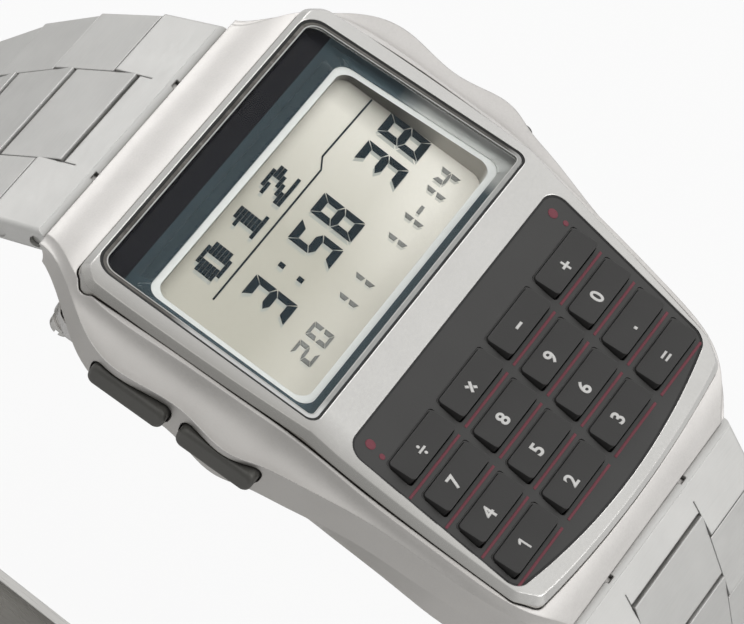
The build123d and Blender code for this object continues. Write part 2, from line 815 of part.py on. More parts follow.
# Sixteen keys: wedges that stand higher on their 6 o'clock side, with a flange below the plate
key_foot = plate_thickness + seat_gap + key_flange
for name, (centre_x, centre_y) in key_centres.items():
    with BuildPart() as key:
        with BuildSketch(keypad_plane.offset(-key_foot)):
            with Locations((centre_x, centre_y)):
                RectangleRounded(key_width, key_height, key_corner)
        extrude(amount=key_foot + key_high)
        key_top = Plane(keypad_plane.from_local_coords((centre_x, centre_y - key_height / 2, key_high)),
                        x_dir=(1, 0, 0),
                        z_dir=keypad_plane.from_local_coords((0, key_high - key_low, key_height))
                        - keypad_plane.origin)
        split(bisect_by=key_top, keep=Keep.BOTTOM)
        with BuildSketch(keypad_plane.offset(-key_foot)):
            with Locations((centre_x, centre_y)):
                Rectangle(key_width, key_height + 2 * key_lip)
        extrude(amount=key_flange)
    key.part.label = "key_" + name
    export_step(key.part, "parts/key_" + name + ".step")

# Rubber mat under the keys
mat_top_y = keypad_top_y - mat_top_gap
with BuildPart() as key_mat:
    with BuildSketch(level(board_z + board_thickness)):
        add(cavity_outline(mat_margin))
        with Locations((0, (mat_top_y + cavity_top_y) / 2)):
            Rectangle(2 * cavity_half_width, cavity_top_y - mat_top_y, mode=Mode.SUBTRACT)
    extrude(amount=case_thickness)
    split(bisect_by=keypad_plane.offset(-key_foot - rest_gap), keep=Keep.BOTTOM)
key_mat.part.label = "key_mat"
export_step(key_mat.part, "parts/key_mat.step")

# Four side buttons with stems through the case wall
stem_tip_x = cavity_half_width + button_travel + stem_rest_gap
for side, hour in ((1, "3"), (-1, "9")):
    for name, place in button_places.items():
        with BuildPart() as button:
            back_depth = slot_depth - button_travel - button_gap
            with BuildSketch(slot_plane(side).offset(-back_depth)):
                with Locations((side * place, 0)):
                    RectangleRounded(button_length - 2 * button_gap, slot_height - 2 * button_gap, button_corner)
            extrude(amount=button_proud + back_depth)
            outer_face = button.faces().sort_by(Axis.X)[-1 if side > 0 else 0]
            fillet(outer_face.edges(), radius=button_crown)
            with BuildSketch(slot_plane(side).offset(-back_depth)):
                with Locations((side * place, -stem_drop)):
                    Circle(stem_radius)
            extrude(amount=-(case_half_width - back_depth - stem_tip_x))
        button.part.label = "button_" + hour + "_" + name
        export_step(button.part, "parts/button_" + hour + "_" + name + ".step")

# Four leaf contacts at the board's edge, one before each stem
with BuildPart() as side_contacts:
    for side in (-1, 1):
        board_edge = cavity_half_width - board_margin
        for place in button_places.values():
            contact_y = slot_y + place * cos(radians(slot_slope))
            with BuildSketch(level(board_z)):
                with Locations((side * (board_edge + contact_thickness / 2), contact_y)):
                    Rectangle(contact_thickness, contact_length)
            extrude(amount=slot_z - stem_drop + stem_radius + contact_over - board_z)
side_contacts.part.label = "side_contacts"
export_step(side_contacts.part, "parts/side_contacts.step")


def chain_pin(index):
    # Y and Z of a bracelet pin on the 12 o'clock side: index 0 is the spring bar in the lugs
    run = zip(chain_lengths[:index], link_slopes[:index])
    steps = [(length * cos(radians(a)), length * sin(radians(a))) for length, a in run]
    return lug_pin_y + sum(step[0] for step in steps), lug_pin_z - sum(step[1] for step in steps)


def link_plane(side, index):
    # The side view of a link: origin on its first pin, X along the chain, Y outwards
    pin_y, pin_z = chain_pin(index)
    slope = radians(link_slopes[index])
    return Plane(origin=(0, side * pin_y, pin_z), x_dir=(0, side * cos(slope), -sin(slope)), z_dir=(side, 0, 0))


def across_plane(side, index, along):
    # A cross-section of a link at a distance along it: X across the bracelet, Y outwards
    base = link_plane(side, index)
    centre = base.from_local_coords((along, 0, 0))
    return Plane(origin=centre, x_dir=base.z_dir, z_dir=base.x_dir)


def side_width(index, along):
    # Half the bracelet's width at a distance along link number index
    before = sum(chain_lengths[:index]) + along
    return bracelet_half_width - bracelet_taper * before / link_pitch


def link_block(start, end, round_end):
    # Side view of one block, with the rounded end at -1, 1 or both
    with BuildSketch(Plane.XY) as shape:
        with Locations(((start + end) / 2, 0)):
            Rectangle(end - start, 2 * link_radius)
        corners = shape.vertices().group_by(Axis.X)[0 if round_end < 0 else -1].sort_by(Axis.Y)
        fillet(corners[0], radius=link_inner_fillet)
        fillet(corners[1], radius=link_outer_fillet)
    return shape.sketch


def link_section(half_width):
    # Crowned cross-section with rounded corners
    with BuildSketch(Plane.XY) as shape:
        with BuildLine():
            Polyline(
                (half_width, link_radius - link_crown),
                (half_width, -link_radius),
                (-half_width, -link_radius),
                (-half_width, link_radius - link_crown),
            )
            ThreePointArc(
                (-half_width, link_radius - link_crown),
                (0, link_radius),
                (half_width, link_radius - link_crown),
            )
        make_face()
        fillet(shape.vertices(), radius=link_corner_radius)
    return shape.sketch


def make_link(side, index):
    # One bracelet link: a centre block at its first pin, side blocks at its last pin and the pin itself
    base = link_plane(side, index)
    length = chain_lengths[index]
    first = index == 0
    last = index == len(chain_lengths) - 1
    widest = side_width(index, 0)
    seam = link_centre_half_width + link_side_gap
    with BuildPart() as link:
        with BuildSketch(base):
            add(link_block(0 if first else -link_reach, length - link_reach - link_gap, -1))
        extrude(amount=link_centre_half_width, both=True)
        side_start = 0 if first else link_reach + link_gap
        side_foot = tab_inner + tab_width + tab_gap if first else seam
        for flank in (-1, 1):
            with BuildSketch(base.offset(flank * seam)):
                add(link_block(side_start, length + link_reach, 1))
            extrude(amount=flank * (widest - seam))
        # Web that joins the three blocks below the outer face
        web_start = link_radius + hood_gap if first else link_reach + link_gap
        web_end = length - link_reach - link_gap
        with BuildSketch(base):
            with Locations(((web_start + web_end) / 2, 0)):
                Rectangle(web_end - web_start, 2 * (link_radius - link_web_drop))
        extrude(amount=side_foot + overrun, both=True)
        if first:
            # Rod in the hood, which the outer face runs on over, and the slots of the lug tabs below that face
            slot_top = tab_radius + tab_gap
            slot_foot = link_radius + hood_gap
            with BuildSketch(base):
                Circle(link_radius)
                add(link_block(-rod_reach, link_radius, -1))
            extrude(amount=widest, both=True)
            for flank in (-1, 1):
                with BuildSketch(base.offset(flank * (tab_inner + tab_width / 2))):
                    Circle(slot_top)
                    with Locations((-overrun / 2, (slot_top - slot_foot) / 2)):
                        Rectangle(overrun, slot_top + slot_foot)
                extrude(amount=tab_width / 2 + tab_gap, both=True, mode=Mode.SUBTRACT)
        # Taper and crown of the bracelet
        with BuildSketch(across_plane(side, index, -overrun)):
            add(link_section(side_width(index, -overrun)))
        with BuildSketch(across_plane(side, index, length + overrun)):
            add(link_section(side_width(index, length + overrun)))
        loft(mode=Mode.INTERSECT)
        # Bores and pins
        near_bore = spring_bar_radius if first else link_pin_radius
        with BuildSketch(base):
            Circle(near_bore + pin_gap)
        extrude(amount=widest if first else seam, both=True, mode=Mode.SUBTRACT)
        with BuildSketch(base):
            with Locations((length, 0)):
                Circle(link_pin_radius + pin_gap / 2)
        extrude(amount=widest, both=True, mode=Mode.SUBTRACT)
        if first:
            with BuildSketch(base):
                Circle(spring_bar_radius)
            extrude(amount=side_width(index, 0) - link_corner_radius, both=True)
        pin_reach = side_width(index, length) - link_pin_inset
        if last:
            pin_reach = cover_half_width - link_pin_inset
        if not last or side > 0:
            with BuildSketch(base):
                with Locations((length, 0)):
                    Circle(link_pin_radius)
            extrude(amount=pin_reach, both=True)
    return link.part


for side, hour in ((1, "12"), (-1, "6")):
    for group in link_groups:
        if group[0] == 0:
            link_name = "end_link_" + hour
        elif len(group) == 1:
            link_name = "link_" + hour + "_" + str(group[0])
        else:
            link_name = "links_" + hour + "_" + str(group[0]) + "_" + str(group[-1])
        with BuildPart() as links:
            for index in group:
                add(make_link(side, index))
        links.part.label = link_name
        export_step(links.part, "parts/" + link_name + ".step")

ground_plane = Plane(origin=(0, 0, 0), x_dir=(0, 1, 0), z_dir=(1, 0, 0))

# Clasp cover: channel with a flat floor, and the hinge pin of the first blade
with BuildPart() as clasp_cover:
    with BuildSketch(ground_plane):
        with BuildLine():
            Polyline(
                (cover_front_y, 0),
                (cover_rear_y, 0),
                (cover_rear_y, cover_wall_height),
                (cover_front_y, cover_wall_height),
                close=True,
            )
        make_face()
    extrude(amount=cover_half_width, both=True)
    fillet(clasp_cover.faces().sort_by(Axis.Z)[0].edges().filter_by(Axis.Y), radius=cover_edge_radius)
    with BuildSketch(Plane.XY.offset(cover_floor)):
        with Locations((0, (cover_front_y + cover_rear_y) / 2)):
            Rectangle(2 * (cover_half_width - cover_wall), cover_rear_y - cover_front_y + overrun)
    extrude(amount=cover_wall_height, mode=Mode.SUBTRACT)
    # Notch that the second blade swings through
    with BuildSketch(Plane.XY):
        with Locations((0, cover_front_y)):
            Rectangle(2 * (blade_two_half_width + cover_notch), 2 * cover_notch)
    extrude(amount=cover_floor, mode=Mode.SUBTRACT)
    with BuildSketch(ground_plane):
        with Locations((clasp_pin_y, clasp_pin_rise)):
            Circle(link_pin_radius + pin_gap)
        with Locations((blade_hinge_y, blade_hinge_z)):
            Circle(hinge_pin_radius + pin_gap / 2)
    extrude(amount=cover_half_width, both=True, mode=Mode.SUBTRACT)
    with BuildSketch(ground_plane):
        with Locations((blade_hinge_y, blade_hinge_z)):
            Circle(hinge_pin_radius)
    extrude(amount=cover_half_width - link_pin_inset, both=True)
clasp_cover.part.label = "clasp_cover"
export_step(clasp_cover.part, "parts/clasp_cover.step")

# First blade, hinged to the cover, with the fold pin at its far end
with BuildPart() as clasp_blade_1:
    with BuildSketch(ground_plane):
        with Locations(((blade_hinge_y + blade_fold_y) / 2, blade_hinge_z)):
            Rectangle(blade_fold_y - blade_hinge_y, blade_thickness)
        with Locations((blade_hinge_y, blade_hinge_z)):
            Circle(hinge_barrel_radius)
        with Locations((blade_fold_y, blade_fold_z)):
            Circle(blade_end_radius)
    extrude(amount=blade_one_half_width, both=True)
    with BuildSketch(ground_plane):
        with Locations((blade_fold_y, blade_fold_z)):
            Circle(blade_end_radius + knuckle_gap)
        with Locations((blade_fold_y, blade_fold_z + overrun / 2)):
            Rectangle(2 * (blade_end_radius + knuckle_gap), overrun)
    extrude(amount=blade_two_half_width + knuckle_gap, both=True, mode=Mode.SUBTRACT)
    with BuildSketch(ground_plane):
        with Locations((blade_hinge_y, blade_hinge_z)):
            Circle(hinge_pin_radius + pin_gap)
        with Locations((blade_fold_y, blade_fold_z)):
            Circle(hinge_pin_radius + pin_gap / 2)
    extrude(amount=blade_one_half_width, both=True, mode=Mode.SUBTRACT)
    with BuildSketch(ground_plane):
        with Locations((blade_fold_y, blade_fold_z)):
            Circle(hinge_pin_radius)
    extrude(amount=blade_one_half_width - link_pin_inset, both=True)
clasp_blade_1.part.label = "clasp_blade_1"
export_step(clasp_blade_1.part, "parts/clasp_blade_1.step")

# Second blade, with the spring bar that holds the last link of the 6 o'clock side
with BuildPart() as clasp_blade_2:
    slab_z = clasp_pin_rise - blade_end_radius + blade_thickness
    with BuildSketch(ground_plane):
        with Locations(((blade_fold_y - clasp_pin_y) / 2, slab_z)):
            Rectangle(blade_fold_y + clasp_pin_y, blade_thickness)
        with Locations((blade_fold_y, blade_fold_z)):
            Circle(blade_end_radius)
        with Locations((-clasp_pin_y, clasp_pin_rise)):
            Circle(blade_eye_radius)
    extrude(amount=blade_two_half_width, both=True)
    with BuildSketch(ground_plane):
        with Locations((blade_fold_y, blade_fold_z)):
            Circle(hinge_pin_radius + pin_gap)
        with Locations((-clasp_pin_y, clasp_pin_rise)):
            Circle(link_pin_radius + pin_gap / 2)
    extrude(amount=blade_two_half_width, both=True, mode=Mode.SUBTRACT)
    with BuildSketch(ground_plane):
        with Locations((-clasp_pin_y, clasp_pin_rise)):
            Circle(link_pin_radius)
    extrude(amount=blade_two_half_width + link_side_gap, both=True)
clasp_blade_2.part.label = "clasp_blade_2"
export_step(clasp_blade_2.part, "parts/clasp_blade_2.step")
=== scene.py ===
import math
import bpy
from mathutils import Matrix, Vector


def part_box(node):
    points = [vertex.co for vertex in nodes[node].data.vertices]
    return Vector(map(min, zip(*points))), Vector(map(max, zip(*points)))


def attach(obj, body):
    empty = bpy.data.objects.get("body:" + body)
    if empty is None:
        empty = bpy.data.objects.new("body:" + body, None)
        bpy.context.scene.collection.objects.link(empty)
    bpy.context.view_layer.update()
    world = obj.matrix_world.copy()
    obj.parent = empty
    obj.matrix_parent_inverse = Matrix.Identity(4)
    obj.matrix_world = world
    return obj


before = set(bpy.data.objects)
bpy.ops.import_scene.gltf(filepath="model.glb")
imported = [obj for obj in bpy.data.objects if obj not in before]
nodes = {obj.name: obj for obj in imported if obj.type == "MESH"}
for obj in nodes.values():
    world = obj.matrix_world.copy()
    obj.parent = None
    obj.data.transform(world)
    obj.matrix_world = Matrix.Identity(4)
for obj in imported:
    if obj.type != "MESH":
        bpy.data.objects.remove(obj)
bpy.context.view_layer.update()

# Planes of the watch, in mm: X to 3 o'clock, Y to 12 o'clock, heights from the case's underside
MM = 0.001
CASE_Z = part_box("case_back")[0].z / MM
FACE_TILT = math.radians(5.0)
FACE_Y = -0.1
FACE_Z = 8.2
KEYPAD_TILT = math.radians(6.1)
KEYPAD_Y = -9.45
KEYPAD_Z = 7.05
LCD_Z = 5.8


def on_face(x, v, lift):
    # v runs up the glass's slope from its lower edge, lift along its normal
    c, s = math.cos(FACE_TILT), math.sin(FACE_TILT)
    return Vector((x, FACE_Y + v * c + lift * s, CASE_Z + FACE_Z - v * s + lift * c)) * MM


def on_keypad(x, v, lift):
    # v runs up the keypad's slope from the middle of its keys, lift along its normal
    c, s = math.cos(KEYPAD_TILT), math.sin(KEYPAD_TILT)
    return Vector((x, KEYPAD_Y + v * c - lift * s, CASE_Z + KEYPAD_Z + v * s + lift * c)) * MM


def on_lcd(x, y, lift):
    # A place on the display panel's level top
    return Vector((x, y, CASE_Z + LCD_Z + lift)) * MM


# Building blocks of the node materials. Their noise lies mostly between NOISE_LOW and NOISE_HIGH, specks
# start at SPECK_LOW, and edges show from SHARP_LOW to SHARP_HIGH
NOISE_LOW = 0.3
SPECK_LOW = 0.35
NOISE_HIGH = 0.7
SHARP_LOW = 0.02
SHARP_HIGH = 0.25
BEVEL_SAMPLES = 6
GRAIN_DETAIL = 4.0
CLOUD_DETAIL = 2.0


def new_material(name):
    mat = bpy.data.materials.new(name)
    mat.use_nodes = True
    tree = mat.node_tree
    return mat, tree, tree.nodes["Principled BSDF"]


def add(tree, kind, values=None, **props):
    node = tree.nodes.new(kind)
    for key, value in props.items():
        setattr(node, key, value)
    for key, value in (values or {}).items():
        node.inputs[key].default_value = value
    return node


def axes(tree, kind):
    # X, Y and Z of one of the texture coordinates
    coords = add(tree, "ShaderNodeTexCoord")
    parts = add(tree, "ShaderNodeSeparateXYZ")
    tree.links.new(coords.outputs[kind], parts.inputs["Vector"])
    return parts.outputs


def noise(tree, scale, detail=3.0, rough=0.55):
    coords = add(tree, "ShaderNodeTexCoord")
    mapping = add(tree, "ShaderNodeMapping", {"Scale": scale})
    grain = add(tree, "ShaderNodeTexNoise", {"Scale": 1.0, "Detail": detail, "Roughness": rough})
    tree.links.new(coords.outputs["Object"], mapping.inputs["Vector"])
    tree.links.new(mapping.outputs["Vector"], grain.inputs["Vector"])
    return grain.outputs["Fac"]


def ramp(tree, value, low, high, start, end):
    # Runs from low, where the value is start, to high, where it is end
    node = add(tree, "ShaderNodeMapRange", {
        "From Min": start, "From Max": end, "To Min": low, "To Max": high})
    tree.links.new(value, node.inputs["Value"])
    return node.outputs["Result"]


def spread(tree, grain, low, high, start=NOISE_LOW):
    # Spreads a noise over low to high
    return ramp(tree, grain, low, high, start, NOISE_HIGH)


def along(tree, axis, low, high, start, end):
    # Runs from low to high between two places in mm
    return ramp(tree, axis, low, high, start * MM, end * MM)


def mix(tree, share, a, b):
    node = add(tree, "ShaderNodeMix", data_type="RGBA")
    for value, socket in ((a, node.inputs[6]), (b, node.inputs[7])):
        if isinstance(value, tuple):
            socket.default_value = (*value, 1.0)
        else:
            tree.links.new(value, socket)
    tree.links.new(share, node.inputs[0])
    return node.outputs[2]


def calc(tree, operation, a, b, use_clamp=False):
    node = add(tree, "ShaderNodeMath", operation=operation, use_clamp=use_clamp)
    for value, socket in ((a, node.inputs[0]), (b, node.inputs[1])):
        if isinstance(value, float):
            socket.default_value = value
        else:
            tree.links.new(value, socket)
    return node.outputs["Value"]


def times(tree, a, b):
    return calc(tree, "MULTIPLY", a, b)


def plus(tree, a, b):
    return calc(tree, "ADD", a, b, use_clamp=True)


def blend_shaders(tree, share, a, b):
    node = add(tree, "ShaderNodeMixShader")
    tree.links.new(share, node.inputs["Fac"])
    tree.links.new(a, node.inputs[1])
    tree.links.new(b, node.inputs[2])
    return node.outputs["Shader"]


def edge_mask(tree, radius):
    # A mask that is 1 on sharp edges and 0 on flat faces, and the rounded edges' normal
    bevel = add(tree, "ShaderNodeBevel", {"Radius": radius}, samples=BEVEL_SAMPLES)
    geometry = add(tree, "ShaderNodeNewGeometry")
    dot = add(tree, "ShaderNodeVectorMath", operation="DOT_PRODUCT")
    tree.links.new(bevel.outputs["Normal"], dot.inputs[0])
    tree.links.new(geometry.outputs["Normal"], dot.inputs[1])
    away = calc(tree, "SUBTRACT", 1.0, dot.outputs["Value"])
    return ramp(tree, away, 0.0, 1.0, SHARP_LOW, SHARP_HIGH), bevel.outputs["Normal"]


def relief(tree, bsdf, height, normal, strength, depth):
    # Fine relief on top of the rounded edges' normal
    bump = add(tree, "ShaderNodeBump", {"Strength": strength, "Distance": depth})
    tree.links.new(height, bump.inputs["Height"])
    tree.links.new(normal, bump.inputs["Normal"])
    tree.links.new(bump.outputs["Normal"], bsdf.inputs["Normal"])


def shade_over(mat, share, colour):
    # Lays a colour over the one that the material already shows
    tree = mat.node_tree
    socket = tree.nodes["Principled BSDF"].inputs["Base Color"]
    shown = socket.links[0].from_socket
    tree.links.new(mix(tree, share, shown, colour), socket)


# Steel and brass: roughness varies between two shares of its value, and is lower on worn edges, whose tone is
# paler as wear and as a painted highlight
METAL_EDGE = 0.12 * MM
METAL_WEAR_AND_HIGHLIGHT = 0.7
METAL_RELIEF = 0.01 * MM
METAL_GRAIN_ROUGH = 0.65
METAL_SMOOTH_SHARE = 0.82
METAL_ROUGH_SHARE = 1.2
METAL_POLISH_SHARE = 0.45
BLOTCH_SCALE = (260.0,) * 3
PAINTED_SIDE_SHADE = (0.26, 0.25, 0.23)


def metal(name, base, bright, rough, grain, streak, bump=0.25, blotch=0.08):
    # Metal whose grain mixes in a share of the bright tone: streak is the grain's fineness along X, Y and Z
    mat, tree, bsdf = new_material(name)
    bsdf.inputs["Metallic"].default_value = 1.0
    fine = noise(tree, streak, detail=GRAIN_DETAIL, rough=METAL_GRAIN_ROUGH)
    soft = noise(tree, BLOTCH_SCALE, detail=CLOUD_DETAIL)
    mask, rounded_normal = edge_mask(tree, METAL_EDGE)
    dull = tuple(c * (1.0 - blotch) for c in base)
    tone = mix(tree, spread(tree, soft, 0.0, 1.0), dull, base)
    grained = mix(tree, spread(tree, fine, 0.0, grain), tone, bright)
    # Edges take the bright tone, as wear and as a painted highlight
    worn_and_highlit = mix(tree, times(tree, mask, METAL_WEAR_AND_HIGHLIGHT), grained, bright)
    tree.links.new(worn_and_highlit, bsdf.inputs["Base Color"])
    grained_rough = spread(tree, fine, rough * METAL_SMOOTH_SHARE, rough * METAL_ROUGH_SHARE)
    polish = times(tree, mask, rough * METAL_POLISH_SHARE)
    tree.links.new(calc(tree, "SUBTRACT", grained_rough, polish, use_clamp=True), bsdf.inputs["Roughness"])
    relief(tree, bsdf, fine, rounded_normal, bump, METAL_RELIEF)
    return mat


SATIN = metal(
    "satin_steel", base=(0.66, 0.64, 0.62), bright=(0.80, 0.78, 0.76),
    rough=0.47, grain=0.5, streak=(9000.0, 9000.0, 9000.0), bump=0.3)
RIM = metal(
    "rim_steel", base=(0.68, 0.67, 0.65), bright=(0.80, 0.79, 0.77),
    rough=0.22, grain=0.25, streak=(5000.0, 5000.0, 5000.0), bump=0.02, blotch=0.05)
BRACELET = metal(
    "bracelet_steel", base=(0.60, 0.595, 0.58), bright=(0.74, 0.735, 0.72),
    rough=0.54, grain=0.45, streak=(700.0, 9000.0, 9000.0), bump=0.2)
CLASP = metal(
    "clasp_steel", base=(0.56, 0.55, 0.53), bright=(0.72, 0.71, 0.69),
    rough=0.30, grain=0.5, streak=(9000.0, 500.0, 9000.0))
BACK = metal(
    "back_steel", base=(0.54, 0.53, 0.52), bright=(0.70, 0.69, 0.68),
    rough=0.28, grain=0.5, streak=(500.0, 9000.0, 9000.0), bump=0.2)
BRASS = metal(
    "contact_brass", base=(0.66, 0.47, 0.20), bright=(0.85, 0.66, 0.36),
    rough=0.30, grain=0.4, streak=(4000.0, 4000.0, 4000.0))


def paint_shade_9_side(mat, start, end, share):
    # Painted shade: deepens the tone from x = end out to x = start, towards 9 o'clock
    painted_shade = along(mat.node_tree, axes(mat.node_tree, "Object")["X"], share, 0.0, start, end)
    shade_over(mat, painted_shade, PAINTED_SIDE_SHADE)


# Painted shade on the 9 o'clock side of the rim and the case
paint_shade_9_side(RIM, start=-14.0, end=-11.5, share=0.7)
paint_shade_9_side(SATIN, start=-15.0, end=-10.0, share=0.38)

# Plastics, rubbers, paints and prints
PLASTIC_EDGE = 0.1 * MM
PLASTIC_RELIEF = 0.02 * MM
PLASTIC_SMOOTH_SHARE = 0.85
PLASTIC_ROUGH_SHARE = 1.15
CLOUD_SCALE = (300.0,) * 3
CLOUD_STRENGTH = 0.35
SPECK_STRENGTH = 0.3
WEAR_HIGHLIGHT_GAIN = 2.2
WEAR_HIGHLIGHT_LIFT = 0.03


def plastic(name, base, light, rough, scale=2500.0, bump=0.3, metallic=0.0, wear_and_highlight=0.25, specular=0.5):
    # Finely speckled surface whose edges are a little paler, as wear and as a painted highlight
    mat, tree, bsdf = new_material(name)
    bsdf.inputs["Metallic"].default_value = metallic
    bsdf.inputs["Specular IOR Level"].default_value = specular
    fine = noise(tree, (scale,) * 3, detail=GRAIN_DETAIL)
    soft = noise(tree, CLOUD_SCALE, detail=CLOUD_DETAIL)
    mask, rounded_normal = edge_mask(tree, PLASTIC_EDGE)
    tone = mix(tree, spread(tree, soft, 0.0, CLOUD_STRENGTH), base, light)
    speck = mix(tree, spread(tree, fine, 0.0, SPECK_STRENGTH, SPECK_LOW), tone, light)
    pale = tuple(min(1.0, c * WEAR_HIGHLIGHT_GAIN + WEAR_HIGHLIGHT_LIFT) for c in light)
    worn_and_highlit = mix(tree, times(tree, mask, wear_and_highlight), speck, pale)
    tree.links.new(worn_and_highlit, bsdf.inputs["Base Color"])
    varied_rough = spread(tree, fine, rough * PLASTIC_SMOOTH_SHARE, rough * PLASTIC_ROUGH_SHARE)
    tree.links.new(varied_rough, bsdf.inputs["Roughness"])
    relief(tree, bsdf, fine, rounded_normal, bump, PLASTIC_RELIEF)
    return mat


BUTTON = plastic(
    "button_dark_metal", base=(0.082, 0.080, 0.073), light=(0.115, 0.113, 0.104),
    rough=0.42, scale=7000.0, metallic=0.35, wear_and_highlight=0.3)
PLATE = plastic(
    "keypad_plate", base=(0.062, 0.061, 0.060), light=(0.078, 0.077, 0.075),
    rough=0.5, scale=9000.0, specular=0.3)
KEYS = plastic(
    "key_plastic", base=(0.046, 0.045, 0.044), light=(0.060, 0.059, 0.058),
    rough=0.5, scale=9000.0, wear_and_highlight=0.10, specular=0.3)
RUBBER = plastic(
    "dark_rubber", base=(0.020, 0.020, 0.020), light=(0.035, 0.035, 0.035), rough=0.7, scale=3000.0)
MODULE = plastic("module_plastic", base=(0.022, 0.022, 0.024), light=(0.04, 0.04, 0.042), rough=0.45)
BOARD = plastic("circuit_board", base=(0.015, 0.10, 0.04), light=(0.03, 0.16, 0.07), rough=0.35)
LIGHT_PANEL = plastic("light_panel", base=(0.62, 0.66, 0.62), light=(0.75, 0.78, 0.75), rough=0.5)
FRAME_PRINT = plastic(
    "display_frame_print", base=(0.62, 0.62, 0.60), light=(0.74, 0.74, 0.72),
    rough=0.4, scale=6000.0, metallic=0.15, wear_and_highlight=0.0)
WHITE = plastic(
    "white_print", base=(0.78, 0.77, 0.75), light=(0.86, 0.85, 0.83), rough=0.5, bump=0.1, wear_and_highlight=0.0)
RED = plastic(
    "red_print", base=(0.20, 0.050, 0.068), light=(0.27, 0.075, 0.098),
    rough=0.5, bump=0.1, wear_and_highlight=0.0, specular=0.3)
INK = plastic(
    "display_ink", base=(0.003, 0.010, 0.015), light=(0.006, 0.018, 0.026),
    rough=0.5, bump=0.1, wear_and_highlight=0.0, specular=0.08)
GREY_INK = plastic(
    "display_grey_ink", base=(0.13, 0.13, 0.12), light=(0.30, 0.30, 0.285),
    rough=0.5, scale=900.0, bump=0.1, wear_and_highlight=0.0)
INK_SHADE = plastic(
    "display_soft_shade", base=(0.35, 0.36, 0.33), light=(0.43, 0.43, 0.39), rough=0.6, bump=0.1, wear_and_highlight=0.0)
GREY_INK_SHADE = plastic(
    "display_faint_shade", base=(0.52, 0.51, 0.46), light=(0.60, 0.58, 0.53), rough=0.6, bump=0.1, wear_and_highlight=0.0)
BLACK = plastic("gasket_black", base=(0.008, 0.008, 0.008), light=(0.014, 0.014, 0.014), rough=0.5, wear_and_highlight=0.0)

# Display, glass and their frame: their colours and their painted light and shade, a pair where a noise mixes
# two of them
PANEL_DIM = (0.475, 0.450, 0.385)
PANEL_REFLECTION_PALE = (0.84, 0.80, 0.73)
PANEL_SPECK = (0.38, 0.36, 0.30)
PANEL_SHADE = (0.10, 0.095, 0.075)
MASK_SLATE = ((0.054, 0.082, 0.096), (0.066, 0.096, 0.112))
MASK_DARK = ((0.004, 0.004, 0.008), (0.007, 0.007, 0.012))
MASK_PAINTED_REFLECTION = (0.56, 0.56, 0.54)
WALL_SHADE_LOW = (0.30, 0.28, 0.25)
WALL_SHADE_HIGH = (0.030, 0.026, 0.018)
END_WALL_SHADE = (0.14, 0.13, 0.11)
EDGE_DARK = ((0.055, 0.050, 0.042), (0.17, 0.16, 0.145))
EDGE_PAINTED_HIGHLIGHT = (0.78, 0.78, 0.77)


def lcd_material():
    # Pale panel with a painted reflection that brightens it towards 3 and 6 o'clock, and the frame's painted
    # shadow on it at its
    # 12 o'clock edge and the upper part of its 3 o'clock edge
    mat, tree, bsdf = new_material("display_panel")
    bsdf.inputs["Specular IOR Level"].default_value = 0.2
    place = axes(tree, "Object")
    # Painted reflection: paler towards 3 and 6 o'clock
    across = along(tree, place["X"], 0.0, 0.75, start=-1.0, end=10.0)
    reflection_down = along(tree, place["Y"], 0.6, 0.0, start=0.5, end=5.5)
    fine = noise(tree, (6000.0,) * 3)
    base = mix(tree, plus(tree, across, reflection_down), PANEL_DIM, PANEL_REFLECTION_PALE)
    speck = mix(tree, spread(tree, fine, 0.0, 0.08, SPECK_LOW), base, PANEL_SPECK)
    # Painted shadow of the frame
    right = along(tree, place["X"], 0.0, 1.0, start=8.8, end=11.2)
    high = along(tree, place["Y"], 0.0, 1.0, start=5.0, end=8.0)
    top = along(tree, place["Y"], 0.0, 0.35, start=10.8, end=12.2)
    shade = plus(tree, times(tree, times(tree, right, high), 0.75), top)
    tree.links.new(mix(tree, shade, speck, PANEL_SHADE), bsdf.inputs["Base Color"])
    tree.links.new(spread(tree, fine, 0.42, 0.55), bsdf.inputs["Roughness"])
    return mat


def mask_material():
    # Slate print with a dark band towards 12 o'clock, and a pale painted reflection on the lower part of its
    # 3 o'clock side
    mat, tree, bsdf = new_material("display_mask")
    bsdf.inputs["Specular IOR Level"].default_value = 0.1
    place = axes(tree, "Object")
    band = along(tree, place["Y"], 0.0, 1.0, start=13.32, end=13.36)
    fine = noise(tree, (4000.0,) * 3)
    slate = mix(tree, spread(tree, fine, 0.0, 1.0), *MASK_SLATE)
    dark = mix(tree, spread(tree, fine, 0.0, 1.0), *MASK_DARK)
    bands = mix(tree, band, slate, dark)
    # Painted reflection on the lower 3 o'clock side
    right = along(tree, place["X"], 0.0, 1.0, start=9.2, end=10.6)
    low = along(tree, place["Y"], 1.0, 0.0, start=6.2, end=8.2)
    pale = times(tree, times(tree, right, low), 0.95)
    tree.links.new(mix(tree, pale, bands, MASK_PAINTED_REFLECTION), bsdf.inputs["Base Color"])
    tree.links.new(spread(tree, fine, 0.30, 0.42), bsdf.inputs["Roughness"])
    return mat


def frame_material():
    # Pale frame whose inner walls have painted shade towards 12 and 3 o'clock
    mat = plastic(
        "display_frame", base=(0.70, 0.70, 0.68), light=(0.82, 0.82, 0.80),
        rough=0.4, scale=6000.0, metallic=0.1, wear_and_highlight=0.0)
    tree = mat.node_tree
    facing = axes(tree, "Normal")
    side_wall_shade = times(tree, ramp(tree, facing["X"], 1.0, 0.0, start=-0.75, end=-0.35), 0.97)
    end_wall_shade = times(tree, ramp(tree, facing["Y"], 1.0, 0.0, start=-0.75, end=-0.35), 0.8)
    high = along(tree, axes(tree, "Object")["Y"], 0.0, 1.0, start=4.5, end=7.8)
    shade_over(mat, side_wall_shade, mix(tree, high, WALL_SHADE_LOW, WALL_SHADE_HIGH))
    shade_over(mat, end_wall_shade, END_WALL_SHADE)
    return mat


